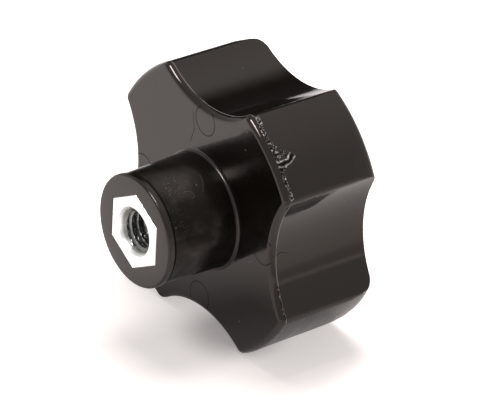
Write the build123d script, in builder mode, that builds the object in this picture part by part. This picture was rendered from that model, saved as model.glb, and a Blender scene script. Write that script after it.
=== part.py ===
from build123d import *
import math
import os

# Four-lobe star knob with a moulded-in threaded steel insert, lying on two of its lobes.
#
# Frame: millimetres, +Z up. The thread axis is horizontal, along Y. The origin is the centre of the
# hub's end face, the hub points towards -Y and the head lies behind it, towards +Y.

# Head: crowned lobes with hollow valleys between them, all drawn at the parting line
lobe_count = 4
head_diameter = 52.2
head_thickness = 20.4
lobe_width = 17.0
lobe_crown_radius = 30.0
valley_diameter = 39.4
lobe_edge_radius = 1.5
head_draft = 1.0
parting_bevel = 0.6

# Grip side of the head: flat, with its rim rounded over as if turned
grip_rim_diameter = 51.3
grip_rim_round = 2.35

# Hub: a slightly tapered boss with a narrow proud rim at its mouth
hub_length = 14.6
hub_neck_diameter = 20.1
hub_base_diameter = 20.9
hub_root_round = 1.2
mouth_rim_diameter = 20.6
mouth_rim_length = 1.2
mouth_rim_bevel = 0.6

# Ejector pin marks on the hub side of the head, one in each valley
ejector_mark_diameter = 5.4
ejector_mark_radius = 17.3
ejector_mark_depth = 0.12

# Insert: hexagon bar with a turned locking groove, drilled and tapped 5/16-18 UNC from its open end
insert_across_flats = 12.7
insert_length = 17.5
insert_turn = 29.0
insert_end_chamfer = 0.8
lock_groove_width = 3.2
lock_groove_diameter = 11.2
lock_groove_start = 8.0
tap_drill_diameter = 6.53
tap_drill_depth = 14.3
tap_drill_point = 118
countersink_diameter = 9.0
countersink_angle = 90

# The knob lies on two lobes, so the lobes stand half a step away from upright
lobe_step = 360 / lobe_count
first_lobe = lobe_step / 2
total_length = hub_length + head_thickness

hub_mouth = Plane.XZ
hub_side = Plane.XZ.offset(-hub_length)


def around(reach, across, turn):
    """Point at a reach along and a distance across a ray that is turned about the thread axis."""
    return Vector(reach, across).rotate(Axis.Z, turn)


# Corner of a lobe: where its crown arc has reached half the lobe's width
half_lobe = lobe_width / 2
head_radius = head_diameter / 2
crown_centre = head_radius - lobe_crown_radius
corner_reach = crown_centre + math.sqrt(lobe_crown_radius**2 - half_lobe**2)

# Insert: the hexagon bar, chamfered at its buried end and grooved so that it cannot pull out
with BuildPart() as threaded_insert:
    with BuildSketch(hub_mouth):
        RegularPolygon(insert_across_flats / 2, 6, major_radius=False, rotation=insert_turn)
    extrude(amount=-insert_length)
    buried_end = threaded_insert.faces().sort_by(Axis.Y)[-1]
    chamfer(buried_end.edges(), insert_end_chamfer)
    with BuildSketch(Plane.XZ.offset(-lock_groove_start)):
        RegularPolygon(insert_across_flats, 6, rotation=insert_turn)
        Circle(lock_groove_diameter / 2, mode=Mode.SUBTRACT)
    extrude(amount=-lock_groove_width, mode=Mode.SUBTRACT)

# Body: one moulding, head and hub together, closed around the insert
with BuildPart() as knob_body:
    with BuildSketch(hub_side) as head_outline:
        with BuildLine():
            for lobe in range(lobe_count):
                turn = first_lobe + lobe * lobe_step
                start = around(corner_reach, -half_lobe, turn)
                crown = around(head_radius, 0, turn)
                end = around(corner_reach, half_lobe, turn)
                valley = around(valley_diameter / 2, 0, turn + lobe_step / 2)
                next_start = around(corner_reach, -half_lobe, turn + lobe_step)
                ThreePointArc(start, crown, end)
                ThreePointArc(end, valley, next_start)
        make_face()
        fillet(head_outline.vertices(), lobe_edge_radius)
    extrude(amount=-head_thickness, taper=head_draft)
    with BuildSketch(Plane.XY):
        with BuildLine():
            grip_rim = grip_rim_diameter / 2
            clear = grip_rim + grip_rim_round
            above = total_length + grip_rim_round
            round_start = (grip_rim - grip_rim_round, total_length)
            round_end = (grip_rim, total_length - grip_rim_round)
            RadiusArc(round_start, round_end, grip_rim_round)
            Polyline(round_end, (clear, hub_length), (clear, above), (round_start[0], above), round_start)
        make_face()
    revolve(axis=Axis.Y, mode=Mode.SUBTRACT)
    parting_face = knob_body.faces().sort_by(Axis.Y)[0]
    chamfer(parting_face.edges(), parting_bevel)

    with BuildSketch(Plane.XY):
        with BuildLine():
            Polyline(
                (0, hub_length + hub_root_round),
                (0, 0),
                (mouth_rim_diameter / 2, 0),
                (mouth_rim_diameter / 2, mouth_rim_length),
                (hub_neck_diameter / 2, mouth_rim_length),
                (hub_base_diameter / 2, hub_length),
                (hub_base_diameter / 2, hub_length + hub_root_round),
                close=True,
            )
        make_face()
    revolve(axis=Axis.Y)
    mouth_edge = knob_body.faces().sort_by(Axis.Y)[0].edges()
    chamfer(mouth_edge, mouth_rim_bevel)
    root_edge = knob_body.edges().filter_by(lambda edge: edge.is_closed).filter_by_position(
        Axis.Y, hub_length - 0.01, hub_length + 0.01
    )
    fillet(root_edge, hub_root_round)

    with BuildSketch(hub_side):
        with PolarLocations(ejector_mark_radius, lobe_count, start_angle=first_lobe + lobe_step / 2):
            Circle(ejector_mark_diameter / 2)
    extrude(amount=-ejector_mark_depth, mode=Mode.SUBTRACT)
    add(threaded_insert.part, mode=Mode.SUBTRACT)

# The insert is drilled and countersunk after the body has taken its outside shape
with BuildPart() as drilled_insert:
    add(threaded_insert.part)
    drill_radius = tap_drill_diameter / 2
    drill_point = drill_radius / math.tan(math.radians(tap_drill_point / 2))
    mouth_radius = countersink_diameter / 2
    countersink_depth = (mouth_radius - drill_radius) / math.tan(math.radians(countersink_angle / 2))
    with BuildSketch(Plane.XY):
        with BuildLine():
            Polyline(
                (0, 0),
                (mouth_radius, 0),
                (drill_radius, countersink_depth),
                (drill_radius, tap_drill_depth),
                (0, tap_drill_depth + drill_point),
                close=True,
            )
        make_face()
    revolve(axis=Axis.Y, mode=Mode.SUBTRACT)

os.makedirs("parts", exist_ok=True)

knob_body.part.label = "knob_body"
export_step(knob_body.part, "parts/knob_body.step")

drilled_insert.part.label = "threaded_insert"
export_step(drilled_insert.part, "parts/threaded_insert.step")
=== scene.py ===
import math

import bmesh
import bpy
from mathutils import Matrix, Vector, noise


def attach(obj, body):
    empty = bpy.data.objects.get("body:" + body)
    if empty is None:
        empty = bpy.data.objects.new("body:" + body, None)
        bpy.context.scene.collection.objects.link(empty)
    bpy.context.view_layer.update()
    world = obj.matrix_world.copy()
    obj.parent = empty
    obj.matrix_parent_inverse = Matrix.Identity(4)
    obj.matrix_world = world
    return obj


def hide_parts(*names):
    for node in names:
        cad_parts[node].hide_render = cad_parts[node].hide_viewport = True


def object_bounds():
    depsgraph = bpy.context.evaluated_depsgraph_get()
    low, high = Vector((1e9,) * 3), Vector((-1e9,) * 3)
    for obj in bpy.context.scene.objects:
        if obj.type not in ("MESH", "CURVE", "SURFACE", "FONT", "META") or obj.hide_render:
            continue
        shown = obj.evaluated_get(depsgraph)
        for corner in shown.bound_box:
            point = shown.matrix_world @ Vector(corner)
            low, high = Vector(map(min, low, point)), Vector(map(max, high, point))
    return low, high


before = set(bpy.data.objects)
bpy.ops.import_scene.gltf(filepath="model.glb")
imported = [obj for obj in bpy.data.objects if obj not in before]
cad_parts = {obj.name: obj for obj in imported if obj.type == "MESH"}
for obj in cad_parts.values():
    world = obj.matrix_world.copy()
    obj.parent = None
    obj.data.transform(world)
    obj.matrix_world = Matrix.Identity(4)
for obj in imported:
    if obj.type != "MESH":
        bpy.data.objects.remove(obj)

cad_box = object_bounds()
MM = 0.001

# ---------------------------------------------------------------- threaded insert
# The insert is a length of 12.7 mm hexagon steel bar, drilled, countersunk and tapped 5/16-18 UNC
# from its open end, with a turned groove that locks it into the moulding. It is bright zinc plated,
# and the plastic is moulded round it with its end face left bare.
insert_length = 17.5 * MM
insert_apothem = 6.35 * MM
insert_turn = math.radians(29.0)
insert_burr = 0.12 * MM
buried_chamfer = 0.8 * MM
groove_start = 8.0 * MM
groove_length = 3.2 * MM
groove_radius = 5.6 * MM
bore_radius = 3.265 * MM
bore_depth = 14.3 * MM
mouth_radius = 4.5 * MM
point_angle = math.radians(59)
thread_major = 3.97 * MM
thread_pitch = 25.4 * MM / 18
thread_length = 12.6 * MM
insert_points = 216
rings_per_pitch = 16


def circle(angles, radius, y):
    """Loop of points round the thread axis at one radius."""
    return [Vector((radius * math.cos(a), y, radius * math.sin(a))) for a in angles]


def hexagon(angles, apothem, y):
    """Loop on the insert's hexagon, at the given angles, with its six corners kept sharp."""
    sixth = math.pi / 3
    loop = [
        Vector((math.cos(a), 0, math.sin(a))) * apothem / math.cos((a - insert_turn) % sixth - sixth / 2)
        for a in angles
    ]
    corner = apothem / math.cos(sixth / 2)
    for side in range(6):
        a = insert_turn + side * sixth
        exact = Vector((math.cos(a), 0, math.sin(a))) * corner
        nearest = min(range(len(loop)), key=lambda i: (loop[i] - exact).length)
        loop[nearest] = exact
    return [point + Vector((0, y, 0)) for point in loop]


def skin(name, loops, sharp_angle=30):
    """Closed mesh through loops of equal count, each end closed by a loop of one point."""
    work = bmesh.new()
    rows = [[work.verts.new(point) for point in loop] for loop in loops]
    for row, following in zip(rows, rows[1:]):
        count = max(len(row), len(following))
        for i in range(count):
            j = (i + 1) % count
            corners = [row[i % len(row)], row[j % len(row)], following[j % len(following)]]
            if len(following) > 1:
                corners.append(following[i])
            if len(row) == 1:
                corners.pop(1)
            work.faces.new(corners)
    bmesh.ops.recalc_face_normals(work, faces=work.faces)
    mesh = bpy.data.meshes.new(name)
    work.to_mesh(mesh)
    work.free()
    mesh.shade_smooth()
    mesh.set_sharp_from_angle(angle=math.radians(sharp_angle))
    piece = bpy.data.objects.new(name, mesh)
    bpy.context.collection.objects.link(piece)
    return piece


class Tree:
    """A geometry tree in the making: named inputs, nodes and links."""

    def __init__(self, name, **inputs):
        self.tree = bpy.data.node_groups.new(name, "GeometryNodeTree")
        self.tree.interface.new_socket("Geometry", in_out="INPUT", socket_type="NodeSocketGeometry")
        self.tree.interface.new_socket("Geometry", in_out="OUTPUT", socket_type="NodeSocketGeometry")
        for label, kind in inputs.items():
            self.tree.interface.new_socket(label, in_out="INPUT", socket_type="NodeSocket" + kind)
        self.start = self.tree.nodes.new("NodeGroupInput")
        self.end = self.tree.nodes.new("NodeGroupOutput")

    def add(self, kind, sockets=(), **settings):
        """New node of a kind; sockets maps an input's name or number to a value or another output."""
        node = self.tree.nodes.new(kind)
        for setting, value in settings.items():
            setattr(node, setting, value)
        for key, value in dict(sockets).items():
            if isinstance(value, bpy.types.NodeSocket):
                self.tree.links.new(value, node.inputs[key])
            else:
                node.inputs[key].default_value = value
        return node

    def calc(self, operation, first, second=0.0):
        """Output of one Math node."""
        return self.add("ShaderNodeMath", {0: first, 1: second}, operation=operation).outputs[0]

    def finish(self, geometry, material):
        """Realize Instances and Set Material, the last two nodes."""
        real = self.add("GeometryNodeRealizeInstances", {0: geometry})
        painted = self.add("GeometryNodeSetMaterial", {"Geometry": real.outputs[0], "Material": material})
        self.tree.links.new(painted.outputs[0], self.end.inputs[0])
        return self.tree


def grow(piece, tree, **values):
    """Run a tree on a piece with these inputs and keep the result as its plain mesh."""
    modifier = piece.modifiers.new(tree.name, "NODES")
    modifier.node_group = tree
    for socket in tree.interface.items_tree:
        if socket.in_out == "INPUT" and socket.name in values:
            modifier[socket.identifier] = values[socket.name]
    evaluated = piece.evaluated_get(bpy.context.evaluated_depsgraph_get())
    mesh = bpy.data.meshes.new_from_object(evaluated)
    piece.modifiers.remove(modifier)
    piece.data = mesh


class Finish:
    """A surface finish in the making, on the part's own Object coordinates."""

    def __init__(self, name):
        self.material = bpy.data.materials.new(name)
        self.material.use_nodes = True
        self.nodes = self.material.node_tree.nodes
        self.links = self.material.node_tree.links
        self.shader = self.nodes["Principled BSDF"]
        self.place = self.nodes.new("ShaderNodeTexCoord").outputs["Object"]

    def add(self, kind, sockets=(), **settings):
        """New node of a kind; sockets maps an input's name or number to a value or another output."""
        node = self.nodes.new(kind)
        for setting, value in settings.items():
            setattr(node, setting, value)
        for key, value in dict(sockets).items():
            if isinstance(value, bpy.types.NodeSocket):
                self.links.new(value, node.inputs[key])
            else:
                node.inputs[key].default_value = value
        return node

    def noise(self, scale, detail=2.0, roughness=0.5, place=None):
        """Noise value at a number of waves per metre."""
        sockets = {"Vector": place or self.place, "Scale": scale, "Detail": detail, "Roughness": roughness}
        return self.add("ShaderNodeTexNoise", sockets).outputs[0]

    def stretched(self, x, y, z):
        """Object coordinates scaled along each axis."""
        return self.add("ShaderNodeMapping", {"Vector": self.place, "Scale": (x, y, z)}).outputs[0]

    def calc(self, operation, first, second=0.0):
        """Output of one Math node."""
        return self.add("ShaderNodeMath", {0: first, 1: second}, operation=operation).outputs[0]

    def spread(self, value, low, high, to_low=0.0, to_high=1.0):
        """A value's range from low to high stretched to another range, clamped."""
        sockets = {"Value": value, "From Min": low, "From Max": high, "To Min": to_low, "To Max": to_high}
        return self.add("ShaderNodeMapRange", sockets).outputs[0]

    def colours(self, value, first, second):
        """Mix of two colours by a value."""
        mix = self.nodes.new("ShaderNodeMix")
        mix.data_type = "RGBA"
        self.links.new(value, mix.inputs[0])
        for socket, colour in ((mix.inputs[6], first), (mix.inputs[7], second)):
            if isinstance(colour, bpy.types.NodeSocket):
                self.links.new(colour, socket)
            else:
                socket.default_value = (*colour, 1)
        return mix.outputs[2]

    def measure(self, operation, first, second=(0, 0, 0)):
        """Value that one Vector Math node gives."""
        return self.add("ShaderNodeVectorMath", {0: first, 1: second}, operation=operation).outputs["Value"]

    def near(self, x, y, z, reach):
        """1 at a place on the part, in millimetres, fading to 0 at a reach from it."""
        centre = Vector((x, y, z)) * MM
        away = self.measure("DISTANCE", self.place, centre)
        return self.spread(away, 0.35 * reach * MM, reach * MM, 1.0, 0.0)

    def bump(self, height, depth, under=None):
        """Bump of a depth in metres, over another bump if one is given."""
        node = self.add("ShaderNodeBump", {"Height": height, "Strength": 1.0, "Distance": depth})
        if under:
            self.links.new(under, node.inputs["Normal"])
        return node.outputs[0]

    def set(self, **sockets):
        """Values and outputs on the shader's own sockets, by their names."""
        for key, value in sockets.items():
            socket = self.shader.inputs[key.replace("_", " ")]
            if isinstance(value, bpy.types.NodeSocket):
                self.links.new(value, socket)
            else:
                socket.default_value = value


zinc = Finish("bright_zinc_plate")
facing_marks = zinc.noise(2600, 3, place=zinc.stretched(1, 0.2, 1))
plate_cloud = zinc.noise(420, 2)
from_axis = zinc.measure("LENGTH", zinc.stretched(1, 0, 1))
# Within 4.3 mm of the axis, in the bore and the inner part of its countersink, the plate is painted dark
# grey: painted shade in the tapped hole
outside_bore = zinc.spread(from_axis, 3.9 * MM, 4.3 * MM, 0.0, 1.0)
face_plate = zinc.colours(plate_cloud, (0.84, 0.85, 0.84), (0.95, 0.96, 0.95))
zinc.set(
    Base_Color=zinc.colours(outside_bore, (0.26, 0.265, 0.25), face_plate),
    Metallic=1.0,
    Roughness=zinc.spread(facing_marks, 0.3, 0.7, 0.24, 0.38),
    Normal=zinc.bump(facing_marks, 0.006 * MM),
)

steps = [math.tau * i / insert_points for i in range(insert_points)]
ring_step = thread_pitch / rings_per_pitch
bore_loops = []
y = 0.0
while y < bore_depth:
    bore_loops.append(circle(steps, max(bore_radius, mouth_radius - y), y))
    y += ring_step
drill_point = bore_depth + bore_radius / math.tan(point_angle)
bar_loops = [
    [Vector((0, insert_length, 0))],
    hexagon(steps, insert_apothem - buried_chamfer, insert_length),
    hexagon(steps, insert_apothem, insert_length - buried_chamfer),
    hexagon(steps, insert_apothem, groove_start + groove_length),
    circle(steps, groove_radius, groove_start + groove_length),
    circle(steps, groove_radius, groove_start),
    hexagon(steps, insert_apothem, groove_start),
    hexagon(steps, insert_apothem, insert_burr),
    hexagon(steps, insert_apothem - insert_burr, 0.0),
]
insert = skin(
    "threaded_insert_plated",
    bar_loops + bore_loops + [circle(steps, bore_radius, bore_depth), [Vector((0, drill_point, 0))]],
)
first_bore_point = 1 + (len(bar_loops) - 1) * insert_points
tapped = insert.data.attributes.new("tapped", "BOOLEAN", "POINT")
for i in range(first_bore_point, first_bore_point + len(bore_loops) * insert_points):
    tapped.data[i].value = True

# The tap cuts a 60 degree helical groove, which runs out above the drill point
tap = Tree("tap_thread", Major="Float", Pitch="Float", Length="Float", Finish="Material")
size = {socket.name: socket for socket in tap.start.outputs}
place = tap.add("ShaderNodeSeparateXYZ", {0: tap.add("GeometryNodeInputPosition").outputs[0]}).outputs
radius = tap.calc("SQRT", tap.calc("ADD", tap.calc("POWER", place[0], 2.0), tap.calc("POWER", place[2], 2.0)))
turns = tap.calc("DIVIDE", tap.calc("ARCTAN2", place[2], place[0]), math.tau)
phase = tap.calc("FRACT", tap.calc("ADD", tap.calc("DIVIDE", place[1], size["Pitch"]), turns))
from_root = tap.calc("MULTIPLY", tap.calc("ABSOLUTE", tap.calc("SUBTRACT", phase, 0.5)), size["Pitch"])
past_flat = tap.calc("MAXIMUM", tap.calc("SUBTRACT", from_root, tap.calc("DIVIDE", size["Pitch"], 16.0)), 0.0)
flank = tap.calc("SUBTRACT", size["Major"], tap.calc("MULTIPLY", past_flat, math.sqrt(3)))
past_end = tap.calc("MAXIMUM", tap.calc("SUBTRACT", place[1], size["Length"]), 0.0)
cut = tap.calc("MAXIMUM", radius, tap.calc("SUBTRACT", flank, past_end))
ratio = tap.calc("DIVIDE", cut, radius)
moved = tap.add(
    "ShaderNodeCombineXYZ",
    {0: tap.calc("MULTIPLY", place[0], ratio), 1: place[1], 2: tap.calc("MULTIPLY", place[2], ratio)},
)
is_bore = tap.add("GeometryNodeInputNamedAttribute", {"Name": "tapped"}, data_type="BOOLEAN")
threaded = tap.add(
    "GeometryNodeSetPosition",
    {
        "Geometry": tap.start.outputs[0],
        "Selection": is_bore.outputs["Attribute"],
        "Position": moved.outputs[0],
    },
)
grow(
    insert,
    tap.finish(threaded.outputs[0], size["Finish"]),
    Major=thread_major,
    Pitch=thread_pitch,
    Length=thread_length,
    Finish=zinc.material,
)
insert.data.set_sharp_from_angle(angle=math.radians(32))
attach(insert, "root")
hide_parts("threaded_insert")

# ---------------------------------------------------------------- moulded body
# Head and hub are one moulding in glossy black plastic. The four crowned lobes and the hollow
# valleys between them taper away from the parting line, which is the edge on the hub's side, and
# the grip side has its rim rounded over. The hub tapers a little and has a narrow rim at its mouth.
lobe_count = 4
head_radius = 26.1 * MM
crown_radius = 30.0 * MM
half_lobe = 8.5 * MM
valley_reach = 19.7 * MM
lobe_edge = 1.5 * MM
head_length = 20.4 * MM
head_draft = math.tan(math.radians(1.0))
parting_round = 1.1 * MM
flash_height = 0.05 * MM
flash_width = 0.16 * MM
grip_edge = 0.35 * MM
rim_reach = 25.65 * MM
rim_round = 2.35 * MM
hub_length = 14.6 * MM
hub_mouth_radius = 10.3 * MM
hub_neck_radius = 10.05 * MM
hub_base_radius = 10.45 * MM
mouth_round = 0.5 * MM
mouth_rim_length = 1.2 * MM
mouth_groove = 0.10 * MM
root_round = 0.6 * MM
tip_points, corner_points, valley_points = 14, 8, 26
pin_radius = 2.7 * MM
pin_reach = 17.3 * MM


def lobe_half():
    """Points of the head's outline and its outward directions, from a lobe's tip to a valley's middle."""
    crown = Vector((head_radius - crown_radius, 0))
    corner = Vector((crown.x + math.sqrt(crown_radius**2 - half_lobe**2), half_lobe))
    middle = Vector((1, 1)).normalized()
    along = corner.dot(middle)
    across = corner.length_squared - along**2
    valley_middle = (along**2 + across - valley_reach**2) / (2 * (along - valley_reach))
    valley = middle * valley_middle
    valley_radius = valley_middle - valley_reach
    near, far = crown_radius - lobe_edge, valley_radius + lobe_edge
    span = valley - crown
    reach = (near**2 - far**2 + span.length_squared) / (2 * span.length)
    rise = math.sqrt(near**2 - reach**2)
    unit = span.normalized()
    sides = [crown + unit * reach + Vector((-unit.y, unit.x)) * rise * sign for sign in (1, -1)]
    edge = max(sides, key=lambda point: point.x)
    points = []

    def arc(centre, radius, start, end, count, outward, keep_end):
        for i in range(count + (1 if keep_end else 0)):
            a = start + (end - start) * i / count
            ray = Vector((math.cos(a), math.sin(a)))
            points.append((centre + ray * radius, ray * outward))

    crown_end = math.atan2(*(edge - crown).yx)
    edge_end = math.atan2(*(valley - edge).yx)
    arc(crown, crown_radius, 0, crown_end, tip_points, 1, False)
    arc(edge, lobe_edge, crown_end, edge_end, corner_points, 1, False)
    arc(valley, valley_radius, edge_end - math.pi, math.radians(225) - math.tau, valley_points, -1, True)
    return points


half = lobe_half()
mirrored = [(point.yx, ray.yx) for point, ray in reversed(half)][1:-1]
one_lobe = half + mirrored
head_outline = []
for lobe in range(lobe_count):
    turn = Matrix.Rotation(math.radians(45) + lobe * math.tau / lobe_count, 2)
    head_outline += [(turn @ point, turn @ ray) for point, ray in one_lobe]
body_angles = [math.atan2(point.y, point.x) for point, ray in head_outline]


def quarter(count):
    """Angles of a quarter turn in equal steps."""
    return [math.pi / 2 * i / count for i in range(count + 1)]


def rim_limit(y):
    """Largest radius that the rounded grip rim leaves at a height."""
    start = hub_length + head_length - rim_round
    return rim_reach + rim_round * max(0.0, (start - y) / (start - hub_length))


def wall(inset, y):
    """Loop of the head's side, drafted from the parting line."""
    loop = []
    for point, ray in head_outline:
        flat = point - ray * (inset + head_draft * (y - hub_length))
        flat *= min(1.0, rim_limit(y) / flat.length)
        loop.append(Vector((flat.x, y, flat.y)))
    return loop


def grip_height(radius):
    """Height of the grip side at a radius: flat, then down over the rounded rim."""
    past = min(max(radius - (rim_reach - rim_round), 0.0), rim_round)
    return hub_length + head_length - (rim_round - math.sqrt(rim_round**2 - past**2))


def grip_edge_loops(count):
    """Loops that break the edge between the head's side and its grip side."""
    top = wall(0, hub_length + head_length)
    corners = []
    for flat in top:
        reach = math.hypot(flat.x, flat.z)
        corners.append(Vector((flat.x, grip_height(reach), flat.z)))
    loops = []
    for step in range(count + 1):
        t = step / count
        loop = []
        for corner in corners:
            reach = math.hypot(corner.x, corner.z)
            inner = reach - grip_edge
            below = Vector((corner.x, corner.y - grip_edge, corner.z))
            inside = Vector((corner.x * inner / reach, grip_height(inner), corner.z * inner / reach))
            loop.append(below * (1 - t) ** 2 + corner * 2 * t * (1 - t) + inside * t**2)
        loops.append(loop)
    return loops


hub_loops = [[Vector((0, insert_length, 0))]]
hub_loops.append(hexagon(body_angles, insert_apothem, insert_length))
hub_loops.append(hexagon(body_angles, insert_apothem, insert_burr))
hub_loops += [hexagon(body_angles, insert_apothem + 0.06 * MM, 0)]
for a in quarter(6):
    radius = hub_mouth_radius - mouth_round + mouth_round * math.sin(a)
    hub_loops.append(circle(body_angles, radius, mouth_round - mouth_round * math.cos(a)))
hub_loops.append(circle(body_angles, hub_mouth_radius, mouth_rim_length - 0.1 * MM))
hub_loops.append(circle(body_angles, hub_neck_radius - mouth_groove, mouth_rim_length))
hub_loops.append(circle(body_angles, hub_neck_radius - mouth_groove, mouth_rim_length + 0.12 * MM))
hub_loops.append(circle(body_angles, hub_neck_radius, mouth_rim_length + 0.30 * MM))
hub_loops.append(circle(body_angles, hub_base_radius, hub_length - root_round))
for a in quarter(8)[1:]:
    radius = hub_base_radius + root_round - root_round * math.cos(a)
    hub_loops.append(circle(body_angles, radius, hub_length - root_round + root_round * math.sin(a)))
root_edge = hub_base_radius + root_round
hub_loops.append(circle(body_angles, root_edge + 0.15 * MM, hub_length))
face_edge = wall(parting_round + 0.1 * MM, hub_length)
head_loops = [face_edge]
for a in quarter(7):
    inset = parting_round * (1 - math.sin(a))
    head_loops.append(wall(inset, hub_length + parting_round * (1 - math.cos(a))))
wall_start = hub_length + parting_round
head_loops.append(wall(-flash_height, wall_start + 0.25 * flash_width))
head_loops.append(wall(-flash_height, wall_start + 0.6 * flash_width))
head_loops.append(wall(0, wall_start + flash_width))
wall_end = hub_length + head_length - rim_round
wall_steps = 14
for i in range(1, wall_steps + 1):
    head_loops.append(wall(0, wall_start + (wall_end - wall_start) * i / wall_steps))
edge_loops = grip_edge_loops(6)
head_loops += edge_loops
grip_loops = []
for inward in (0.3, 0.6, 0.9, 1.2, 1.5, 1.8, 2.1, 2.4, 2.7, 3.0):
    loop = []
    for point in edge_loops[-1]:
        reach = math.hypot(point.x, point.z)
        inner = reach - inward * MM
        loop.append(Vector((point.x * inner / reach, grip_height(inner), point.z * inner / reach)))
    grip_loops.append(loop)
for share in (0.75, 0.5, 0.25):
    grip_loops.append([Vector((p.x * share, p.y, p.z * share)) for p in grip_loops[9]])
body = skin(
    "knob_body_moulded",
    hub_loops + head_loops + grip_loops + [[Vector((0, hub_length + head_length, 0))]],
    sharp_angle=35,
)

# The plastic is glossy, a little grained on the lobes' tips, with thin dark lines of painted shade at the
# pins' rims and behind the hub's mouth, and a few dark scratches
black = Finish("glossy_black_plastic")
ripple = black.noise(260, 2)
grain = black.noise(3600, 3)
smears = black.noise(150, 3, place=black.stretched(1, 2.2, 1))
from_axis = black.measure("LENGTH", black.stretched(1, 0, 1))
spot = black.add("ShaderNodeSeparateXYZ", {0: black.place}).outputs
along = spot["Y"]
on_side = black.spread(along, hub_length + parting_round, hub_length + parting_round + 0.3 * MM)
on_tip = black.calc("MULTIPLY", black.spread(from_axis, 24.6 * MM, 25.5 * MM), on_side)
on_hub = black.spread(from_axis, 11.5 * MM, 12.5 * MM, 1.0, 0.0)


def hairline(value, centre, half_width):
    """1 on a thin line where a value passes a centre, 0 off it."""
    off = black.calc("ABSOLUTE", black.calc("SUBTRACT", value, centre))
    return black.spread(off, 0.6 * half_width, 1.4 * half_width, 1.0, 0.0)


scratch_half_width = 0.07 * MM


def scratch(*places):
    """1 on a thin scratch that runs through places given in millimetres, 0 off it."""
    mark = 0.0
    for start, end in zip(places, places[1:]):
        run = (Vector(end) - Vector(start)) * MM
        sockets = {0: black.place, 1: Vector(start) * MM}
        past = black.add("ShaderNodeVectorMath", sockets, operation="SUBTRACT").outputs[0]
        share = black.spread(black.measure("DOT_PRODUCT", past, run), 0.0, run.length_squared)
        foot = black.add("ShaderNodeVectorMath", {0: run, "Scale": share}, operation="SCALE").outputs[0]
        off = black.measure("DISTANCE", past, foot)
        mark = black.calc("MAXIMUM", hairline(off, 0.0, scratch_half_width), mark)
    return mark


across, upward = black.calc("ABSOLUTE", spot["X"]), black.calc("ABSOLUTE", spot["Z"])
to_pin = black.calc("SUBTRACT", black.calc("MAXIMUM", across, upward), pin_reach)
beside = black.calc("MINIMUM", across, upward)
from_pin = black.calc("ADD", black.calc("POWER", to_pin, 2.0), black.calc("POWER", beside, 2.0))
from_pin = black.calc("SQRT", from_pin)
on_face = black.spread(along, hub_length + 0.2 * MM, hub_length + 0.3 * MM, 1.0, 0.0)
pin_rim = black.calc("MULTIPLY", hairline(from_pin, pin_radius, 0.09 * MM), on_face)
mouth_line = black.calc("MULTIPLY", hairline(along, mouth_rim_length + 0.38 * MM, 0.13 * MM), on_hub)
# Painted shade: the pins' rims and the line behind the hub's mouth lose most of their reflection, as do two
# scratches
groove_shade_and_scratches = black.calc("MAXIMUM", pin_rim, mouth_line)
groove_shade_and_scratches = black.calc("MAXIMUM", groove_shade_and_scratches, scratch((19.6, 15.3, -0.5), (19.7, 16.8, 0.0), (19.7, 18.4, -0.6)))
groove_shade_and_scratches = black.calc("MAXIMUM", groove_shade_and_scratches, scratch((-4.1, 14.6, 11.3), (-3.0, 14.6, 14.4), (-3.6, 14.6, 17.6)))
pale_marks = 0.0
for places in (
    ((3.9, 10.9, 9.6), (5.5, 10.4, 8.75), (6.6, 9.6, 7.95)),
    ((5.6, 6.2, 8.5), (5.8, 7.4, 8.45), (6.7, 7.8, 7.75), (6.9, 7.2, 7.6)),
    ((-2.6, 14.6, 14.7), (-1.2, 14.6, 13.9), (0.1, 14.6, 14.0)),
    ((13.4, 14.6, -4.2), (14.6, 14.6, -3.6), (15.6, 14.6, -2.3)),
):
    pale_marks = black.calc("MAXIMUM", scratch(*places), pale_marks)

# A painted highlight runs in stretches along the flash line round the head; specks and scuffs come from mould
# and handling, and the stipple on the hub's pitted places is painted glints
flash_highlight = hairline(along, hub_length + parting_round + 0.5 * flash_width, 0.55 * flash_width)
flash_highlight = black.calc("MULTIPLY", flash_highlight, black.spread(black.noise(420, 3), 0.26, 0.46))
pitted = black.calc("ADD", black.near(4.3, 5.0, 9.2, 3.2), black.near(8.5, 3.0, 5.2, 2.8))
scuffed = black.calc("ADD", black.near(-1.5, 14.6, 15.2, 4.2), black.near(12.4, 14.6, -7.6, 4.6))
scuff_lines = black.noise(900, 3, 0.6, place=black.stretched(3.2, 1, 0.35))
specks = black.add("ShaderNodeTexVoronoi", {"Vector": black.place, "Scale": 330.0, "Randomness": 1.0})
speck_number = black.add("ShaderNodeSeparateColor", {0: specks.outputs["Color"]}).outputs[0]
chosen = black.calc("GREATER_THAN", speck_number, 0.70)
is_dust = black.calc("MULTIPLY", black.spread(specks.outputs["Distance"], 0.026, 0.046, 1.0, 0.0), chosen)
plastic = black.colours(smears, (0.0032, 0.0023, 0.0015), (0.0058, 0.0045, 0.0034))
# Painted highlight along the flash line
plastic = black.colours(flash_highlight, plastic, (0.24, 0.225, 0.215))
plastic = black.colours(pale_marks, plastic, (0.045, 0.041, 0.038))
# Pale grains on the hub's pitted places: painted glints
stipple_glints = black.calc("MULTIPLY", black.spread(black.noise(2900, 2, 0.6), 0.60, 0.70), pitted)
plastic = black.colours(stipple_glints, plastic, (0.11, 0.10, 0.095))
moulded_gloss = black.spread(smears, 0.35, 0.7, 0.07, 0.15)
gloss = black.calc("ADD", moulded_gloss, black.calc("MULTIPLY", on_tip, 0.18))
gloss = black.calc("ADD", gloss, black.calc("MULTIPLY", on_hub, 0.10))
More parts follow.
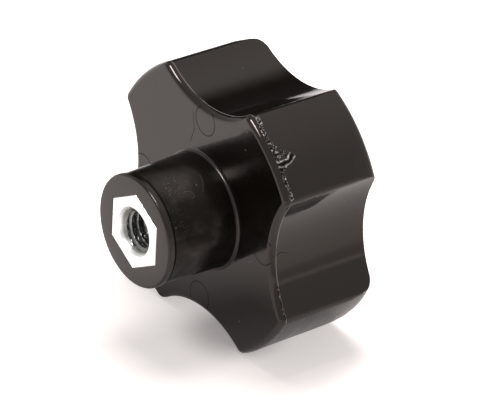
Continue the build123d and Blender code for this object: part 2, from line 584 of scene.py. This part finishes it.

# The hub's side has painted shading: its reflection is turned down below the head's, most at the bottom and
# less at the top, with painted highlight clouds and two painted highlight patches
hub_side = black.calc("MULTIPLY", black.spread(along, mouth_rim_length, mouth_rim_length + 0.3 * MM), on_hub)
before_root = black.spread(along, hub_length - 0.7 * MM, hub_length - 0.4 * MM, 1.0, 0.0)
hub_side = black.calc("MULTIPLY", hub_side, before_root)
lower_painted_sheen = black.spread(spot["Z"], -9 * MM, -3 * MM, 0.04, 0.26)
upper_painted_sheen = black.spread(spot["Z"], 1 * MM, 9 * MM, 0.0, 0.2)
hub_painted_sheen = black.calc("ADD", lower_painted_sheen, upper_painted_sheen)
painted_sheen_clouds = black.noise(330, 4, 0.6)
hub_painted_sheen = black.calc("ADD", hub_painted_sheen, black.spread(painted_sheen_clouds, 0.48, 0.68, 0.0, 0.35))
hub_painted_sheen = black.calc("ADD", hub_painted_sheen, black.calc("MULTIPLY", black.near(3.6, 5.2, 9.4, 4.2), 0.45))
hub_painted_sheen = black.calc("ADD", hub_painted_sheen, black.calc("MULTIPLY", black.near(9.6, 4.6, -2.6, 4.6), 0.25))
painted_sheen = black.calc("MULTIPLY_ADD", hub_side, black.calc("SUBTRACT", hub_painted_sheen, 1.0))
painted_sheen.node.inputs[2].default_value = 1.0
skin_bump = black.bump(ripple, 0.010 * MM)
skin_bump = black.bump(black.calc("MULTIPLY", grain, on_tip), 0.009 * MM, skin_bump)
skin_bump = black.bump(black.calc("MULTIPLY", black.noise(2200, 3), pitted), 0.008 * MM, skin_bump)
skin_bump = black.bump(black.calc("MULTIPLY", scuff_lines, scuffed), 0.008 * MM, skin_bump)
black.set(
    Base_Color=black.colours(is_dust, plastic, (0.30, 0.28, 0.26)),
    Roughness=black.calc("MAXIMUM", gloss, is_dust),
    IOR=1.5,
    Specular_IOR_Level=black.calc("MULTIPLY", black.spread(groove_shade_and_scratches, 0.0, 1.0, 0.5, 0.06), painted_sheen),
    Specular_Tint=(1.0, 0.86, 0.81, 1),
    Normal=skin_bump,
)

# Beside each valley is the round mark of an ejector pin, a shade below the face on the hub's side
pin_depth = 0.12 * MM
pins = Tree(
    "ejector_marks",
    Count="Int",
    Reach="Float",
    Pin="Float",
    Depth="Float",
    Face="Float",
    Finish="Material",
)
size = {socket.name: socket for socket in pins.start.outputs}
upright = (math.pi / 2, 0, 0)
ring = pins.add("GeometryNodeMeshCircle", {"Vertices": size["Count"], "Radius": size["Reach"]})
shift = pins.add("ShaderNodeCombineXYZ", {1: size["Face"]})
ring = pins.add(
    "GeometryNodeTransform",
    {"Geometry": ring.outputs[0], "Translation": shift.outputs[0], "Rotation": upright},
)
pin = pins.add(
    "GeometryNodeMeshCylinder",
    {"Vertices": 64, "Radius": size["Pin"], "Depth": pins.calc("MULTIPLY", size["Depth"], 2.0)},
)
pin = pins.add("GeometryNodeTransform", {"Geometry": pin.outputs[0], "Rotation": upright})
placed = pins.add("GeometryNodeInstanceOnPoints", {"Points": ring.outputs[0], "Instance": pin.outputs[0]})
cutters = pins.add("GeometryNodeRealizeInstances", {0: placed.outputs[0]})
cut_out = pins.add("GeometryNodeMeshBoolean", operation="DIFFERENCE")
pins.tree.links.new(pins.start.outputs[0], cut_out.inputs["Mesh 1"])
pins.tree.links.new(cutters.outputs[0], cut_out.inputs["Mesh 2"])
grow(
    body,
    pins.finish(cut_out.outputs[0], size["Finish"]),
    Count=lobe_count,
    Reach=pin_reach,
    Pin=pin_radius,
    Depth=pin_depth,
    Face=hub_length,
    Finish=black.material,
)
body.data.set_sharp_from_angle(angle=math.radians(35))
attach(body, "root")
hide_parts("knob_body")

# ---------------------------------------------------------------- gate scar and flash
# The plastic came in through an edge gate on one lobe's tip. The gate was torn off there, which
# left a ragged triangular scar, and the flash along the parting line was roughly filed down.
# Another stretch of flash stands on the edge of the valley and the lobe below it.
relief_step = 0.07 * MM
relief_depth = 0.10 * MM
sunk = 0.02 * MM
scar_corners = [Vector((2.8, 0.15)), Vector((-3.05, 0.5)), Vector((-1.05, 4.3))]


def edge_stations(start, end):
    """Even steps along the parting line between two angles in degrees: point, direction and length."""
    angles = [math.degrees(a) for a in body_angles]
    inside = [i for i, a in enumerate(angles) if start <= a <= end]
    inside.sort(key=lambda i: angles[i])
    stations, travelled = [], 0.0
    for first, second in zip(inside, inside[1:]):
        (p, p_ray), (q, q_ray) = head_outline[first], head_outline[second]
        steps = max(1, round((q - p).length / relief_step))
        for i in range(steps):
            t = i / steps
            stations.append((p.lerp(q, t), p_ray.lerp(q_ray, t).normalized(), travelled + (q - p).length * t))
        travelled += (q - p).length
    middle = travelled / 2
    return [(point, ray, (length - middle) / MM) for point, ray, length in stations]


def relief(name, stations, width, height, tone):
    """Closed rough skin on the head's side: height in millimetres and tone for a length and a distance."""
    rows = round(width / relief_step) + 1
    work = bmesh.new()
    layers, tones = [], []
    for top in (True, False):
        layer = []
        for point, ray, length in stations:
            column = []
            for row in range(rows):
                away = (row * relief_step - 0.25 * MM) / MM
                lift = height(length, away) * MM - sunk if top else -relief_depth
                y = wall_start + away * MM
                round_off = max(0.0, wall_start - y)
                lift -= parting_round - math.sqrt(parting_round**2 - round_off**2)
                flat = point + ray * (lift - head_draft * max(0.0, y - hub_length))
                column.append(work.verts.new((flat.x, y, flat.y)))
                tones.append(tone(length, away))
            layer.append(column)
        layers.append(layer)
    upper, lower = layers
    last = len(stations) - 1
    for i in range(last):
        for j in range(rows - 1):
            work.faces.new((upper[i][j], upper[i + 1][j], upper[i + 1][j + 1], upper[i][j + 1]))
            work.faces.new((lower[i][j + 1], lower[i + 1][j + 1], lower[i + 1][j], lower[i][j]))
        work.faces.new((lower[i][0], lower[i + 1][0], upper[i + 1][0], upper[i][0]))
        work.faces.new((upper[i][-1], upper[i + 1][-1], lower[i + 1][-1], lower[i][-1]))
    for j in range(rows - 1):
        work.faces.new((upper[0][j], upper[0][j + 1], lower[0][j + 1], lower[0][j]))
        work.faces.new((lower[last][j], lower[last][j + 1], upper[last][j + 1], upper[last][j]))
    bmesh.ops.recalc_face_normals(work, faces=work.faces)
    mesh = bpy.data.meshes.new(name)
    work.to_mesh(mesh)
    work.free()
    mesh.attributes.new("tone", "FLOAT", "POINT").data.foreach_set("value", tones)
    mesh.shade_smooth()
    mesh.materials.append(torn.material)
    piece = bpy.data.objects.new(name, mesh)
    bpy.context.collection.objects.link(piece)
    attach(piece, "root")
    return piece


def step_up(value, low, high):
    """0 below low, 1 above high and smooth between."""
    t = min(max((value - low) / (high - low), 0.0), 1.0)
    return t * t * (3 - 2 * t)


def torn_noise(length, away, stretch, seed):
    """Ridged noise from 0 to 1."""
    return 1 - abs(noise.fractal(Vector((length, away * stretch, seed)), 0.7, 2.1, 4))


def filed_edge(length, away):
    """The filed flash: a ragged strip beside the parting line, widest at the lobe's upper end."""
    breadth = 0.45 + 0.3 * noise.noise(Vector((length * 0.7, 0, 3))) + 0.9 * step_up(length, 4.6, 7.2)
    breadth += 0.25 * step_up(-length, 4.5, 7.5)
    strip = step_up(away, -0.18, -0.02) * (1 - step_up(away, breadth - 0.12, breadth + 0.12))
    strip *= step_up(8.3 - abs(length), 0.0, 0.4)
    low_end = 1 - 0.9 * step_up(abs(length), 4.2, 6.0)
    return strip * (0.03 + 0.30 * low_end * torn_noise(length * 1.6, away, 4.5, 1.0) ** 4)


def gate_scar(length, away):
    """Height of the gated lobe's edge: filed flash and the torn triangle beyond it."""
    here = Vector((length, away))
    inside = 9.0
    for start, end in zip(scar_corners, scar_corners[1:] + scar_corners[:1]):
        side = (end - start).normalized()
        inside = min(inside, side.y * (here.x - start.x) - side.x * (here.y - start.y))
    ragged = inside + 0.25 * noise.noise(Vector((length * 2.2, away * 2.2, 7)))
    scar = step_up(ragged, 0.0, 0.22)
    rings = (here - Vector((1.6, 0.9))).length + 0.35 * noise.noise(Vector((length * 1.2, away * 1.2, 5)))
    ribs = 0.5 + 0.5 * math.sin(rings * math.tau / 0.85)
    torn_height = 0.05 + 0.12 * step_up(ragged, 0.0, 0.5)
    torn_height += 0.24 * ribs * torn_noise(length, away, 1.6, 4.0) ** 2
    return max(filed_edge(length, away), scar * torn_height)


def lower_flash(length, away):
    """The lower stretch of flash: a thin fin with gaps."""
    fin = math.exp(-(((away - 0.02) / 0.12) ** 2)) * step_up(3.3 - abs(length), 0.0, 0.5)
    return fin * (0.03 + 0.07 * torn_noise(length * 1.1, away, 2.0, 9.0) ** 2)


def filed_tone(length, away):
    """Tone of filed plastic: 0 in its gaps, as painted shade, about a half on plain skin, and 1 on its
    ridges, as painted glints over a little stress whitening.
    """
    streak = noise.fractal(Vector((length * 2.3, away * 5.5, 11)), 0.6, 2.2, 5)
    groove_shade = 0.5 * math.exp(-(((away - 0.05) / 0.10) ** 2))
    return min(max(0.56 + 1.2 * streak - groove_shade, 0.0), 1.0)


def scar_tone(length, away):
    """Tone of the gate scar: two bright arcs of painted glints low in the triangle, a dark outline of painted
    shade, and streaks.
    """
    rough = filed_tone(length, away)
    if away < 1.0 and not -2.6 < length < -0.6:
        return rough
    here = Vector((length, away))
    ring = (here - Vector((1.6, 0.9))).length + 0.25 * noise.noise(Vector((length * 1.2, away * 1.2, 5)))
    arcs = max(math.exp(-(((ring - 2.75) / 0.16) ** 2)), math.exp(-(((ring - 3.75) / 0.20) ** 2)))
    arcs *= step_up(-length, -0.6, 0.3)
    gaps = math.exp(-(((ring - 3.25) / 0.18) ** 2)) + math.exp(-(((ring - 4.3) / 0.20) ** 2))
    plain = 0.50 + 0.30 * noise.noise(Vector((length * 1.6, away * 2.8, 2)))
    if ring < 2.6:
        plain += 0.14 * math.sin(ring * 7.5)
    return min(max(plain + 0.55 * arcs * (0.7 + 0.5 * rough) - 0.6 * gaps, 0.0), 1.0)


# High tone is painted glints, partly stress whitening, in a pale colour; low tone is painted shade with
# little reflection
torn = Finish("torn_black_plastic")
torn_grain = torn.noise(4200, 3)
tone = torn.add("ShaderNodeAttribute", attribute_name="tone").outputs["Fac"]
whitening_and_glints = torn.spread(tone, 0.70, 0.95)
torn.set(
    Base_Color=torn.colours(whitening_and_glints, (0.004, 0.003, 0.0025), (0.54, 0.515, 0.49)),
    Roughness=torn.spread(torn_grain, 0.3, 0.7, 0.12, 0.28),
    IOR=1.5,
    Specular_IOR_Level=torn.spread(tone, 0.22, 0.45, 0.04, 0.55),
    Specular_Tint=(1.0, 0.86, 0.81, 1),
    Normal=torn.bump(torn_grain, 0.008 * MM),
)
relief("gate_scar_torn", edge_stations(25.5, 64.5), 5.0 * MM, gate_scar, scar_tone)
relief("edge_flash_lower", edge_stations(-29.0, -13.0), 0.6 * MM, lower_flash, filed_tone)

# ---------------------------------------------------------------- floor
# A plain pale sheet under the part, which keeps its shadow. For the camera it glows, white beyond the shadow
# and less near the part, which paints the shadow darker there. In the plastic's reflections it glows in front
# on the left and behind on the right, and is
# dim close to the part: painted reflections of a lit floor and its shade.
floor_size = 1.6
low, high = cad_box
floor_mesh = bpy.data.meshes.new("floor")
corners = [(sx * floor_size, sy * floor_size, low.z) for sx, sy in ((-1, -1), (1, -1), (1, 1), (-1, 1))]
floor_mesh.from_pydata(corners, [], [(0, 1, 2, 3)])
floor = bpy.data.objects.new("floor", floor_mesh)
bpy.context.collection.objects.link(floor)
sheet = bpy.data.materials.new("pale_sheet")
sheet.use_nodes = True
nodes, links = sheet.node_tree.nodes, sheet.node_tree.links
sheet_shader = nodes["Principled BSDF"]
sheet_shader.inputs["Base Color"].default_value = (0.90, 0.85, 0.83, 1)
sheet_shader.inputs["Roughness"].default_value = 0.9
sheet_shader.inputs["Specular IOR Level"].default_value = 0.0
rays = nodes.new("ShaderNodeLightPath")


def floor_math(operation, *values):
    """Output of one Math node of the floor."""
    node = nodes.new("ShaderNodeMath")
    node.operation = operation
    for socket, value in zip(node.inputs, values):
        if isinstance(value, bpy.types.NodeSocket):
            links.new(value, socket)
        else:
            socket.default_value = value
    return node.outputs[0]


def floor_ring(x, y, inner, outer):
    """0 within a distance of a place on the floor, rising to 1 at a larger one, all in millimetres."""
    away = nodes.new("ShaderNodeVectorMath")
    away.operation = "DISTANCE"
    away.inputs[1].default_value = (x * MM, y * MM, low.z)
    links.new(floor_place, away.inputs[0])
    ramp = nodes.new("ShaderNodeMapRange")
    ramp.interpolation_type = "SMOOTHSTEP"
    ramp.inputs["From Min"].default_value = inner * MM
    ramp.inputs["From Max"].default_value = outer * MM
    links.new(away.outputs["Value"], ramp.inputs["Value"])
    return ramp.outputs[0]


floor_place = nodes.new("ShaderNodeTexCoord").outputs["Object"]
in_front_left = floor_math("MULTIPLY", floor_ring(0, 5, 14, 36), floor_ring(120, 90, 110, 165))
behind_right = floor_math("SUBTRACT", 1.0, floor_ring(42, 46, 34, 72))
left_glow = floor_math("MULTIPLY", in_front_left, 0.60)
right_glow = floor_math("MULTIPLY", behind_right, 0.36)
mirrored = floor_math("ADD", left_glow, right_glow)
# Camera glow, turned down near the part: a painted shadow
glow_and_painted_shadow = floor_math("MULTIPLY_ADD", floor_ring(0, 18, 26, 40), 0.45, 0.23)
glow_and_painted_shadow = floor_math("MULTIPLY_ADD", floor_ring(5, 18, 3, 12), 0.30, glow_and_painted_shadow)
seen = floor_math("MULTIPLY", glow_and_painted_shadow, rays.outputs["Is Camera Ray"])
glow = floor_math("MULTIPLY_ADD", mirrored, rays.outputs["Is Glossy Ray"], seen)
sheet_shader.inputs["Emission Color"].default_value = (1, 0.94, 0.925, 1)
links.new(glow, sheet_shader.inputs["Emission Strength"])
floor_mesh.materials.append(sheet)

# ---------------------------------------------------------------- light
# A white tent with a dark opening on the left behind, a soft box above that only the surfaces' own
# colour and the floor take light from, and a box in front that shows only as a highlight.
world = bpy.data.worlds.new("tent")
bpy.context.scene.world = world
world.use_nodes = True
nodes, links = world.node_tree.nodes, world.node_tree.links
sky = nodes["Background"]
sky.inputs["Color"].default_value = (1.0, 0.985, 0.97, 1)
rays = nodes.new("ShaderNodeLightPath")


def direction(azimuth, elevation):
    """Unit vector towards a place round the part: azimuth 0 is in front of the hub, 90 to its right."""
    a, e = math.radians(azimuth), math.radians(elevation)
    return Vector((math.sin(a) * math.cos(e), -math.cos(a) * math.cos(e), math.sin(e)))


def sky_patch(azimuth, elevation, inner, outer, strength_in, strength_out):
    """Sky strength that changes round one direction, between two angles from it."""
    facing = nodes.new("ShaderNodeVectorMath")
    facing.operation = "DOT_PRODUCT"
    facing.inputs[1].default_value = direction(azimuth, elevation)
    links.new(outward, facing.inputs[0])
    patch = nodes.new("ShaderNodeMapRange")
    patch.interpolation_type = "SMOOTHSTEP"
    patch.inputs["From Min"].default_value = math.cos(math.radians(outer))
    patch.inputs["From Max"].default_value = math.cos(math.radians(inner))
    patch.inputs["To Min"].default_value = strength_out
    patch.inputs["To Max"].default_value = strength_in
    links.new(facing.outputs["Value"], patch.inputs["Value"])
    return patch.outputs[0]


def sky_math(operation, *values):
    """Output of one Math node of the sky."""
    node = nodes.new("ShaderNodeMath")
    node.operation = operation
    for socket, value in zip(node.inputs, values):
        if isinstance(value, bpy.types.NodeSocket):
            links.new(value, socket)
        else:
            socket.default_value = value
    return node.outputs[0]


outward = nodes.new("ShaderNodeTexCoord").outputs["Generated"]
mirrored_sky = sky_math(
    "MULTIPLY",
    sky_patch(-125, 18, 14, 36, 0.05, 1.0),
    sky_patch(165, 68, 12, 40, 1.05, 0.70),
)
lit_sky = sky_math("MULTIPLY_ADD", rays.outputs["Is Diffuse Ray"], -2.0, 2.0)
strength = sky_math("MINIMUM", mirrored_sky, sky_math("ADD", lit_sky, 0.36))
links.new(sky_math("MAXIMUM", strength, rays.outputs["Is Camera Ray"]), sky.inputs["Strength"])


def soft_box(name, azimuth, elevation, side, power):
    """Square lamp a metre away that faces the head from a direction round it."""
    lamp = bpy.data.lights.new(name, "AREA")
    lamp.shape = "SQUARE"
    lamp.size = side
    lamp.energy = power
    box = bpy.data.objects.new(name, lamp)
    box.location = Vector((0, hub_length, 0)) + direction(azimuth, elevation)
    box.rotation_mode = "QUATERNION"
    box.rotation_quaternion = direction(azimuth, elevation).to_track_quat("Z", "Y")
    bpy.context.collection.objects.link(box)
    return box


soft_box("box_above", 232, 78, 0.45, 6.2).visible_glossy = False
soft_box("box_in_front", 5, 54, 0.30, 7.0).visible_diffuse = False

# ---------------------------------------------------------------- camera
# A long lens, from in front of the hub, to its right and above.
lens_pixels = 8175
camera_place = Vector((980.7, -732.5, 688.0)) * MM
view_azimuth, view_elevation, view_roll = 52.32, 29.09, 2.1
picture_width = 500
camera_data = bpy.data.cameras.new("camera")
camera_data.sensor_width = 36
camera_data.lens = lens_pixels * camera_data.sensor_width / picture_width
camera_data.clip_start, camera_data.clip_end = 0.05, 20
camera = bpy.data.objects.new("camera", camera_data)
back = direction(view_azimuth, view_elevation)
camera.location = camera_place
camera.rotation_mode = "QUATERNION"
level = back.to_track_quat("Z", "Y").to_matrix()
camera.rotation_quaternion = (level @ Matrix.Rotation(math.radians(view_roll), 3, "Z")).to_quaternion()
bpy.context.collection.objects.link(camera)
bpy.context.scene.camera = camera
bpy.context.scene.view_settings.view_transform = "Standard"
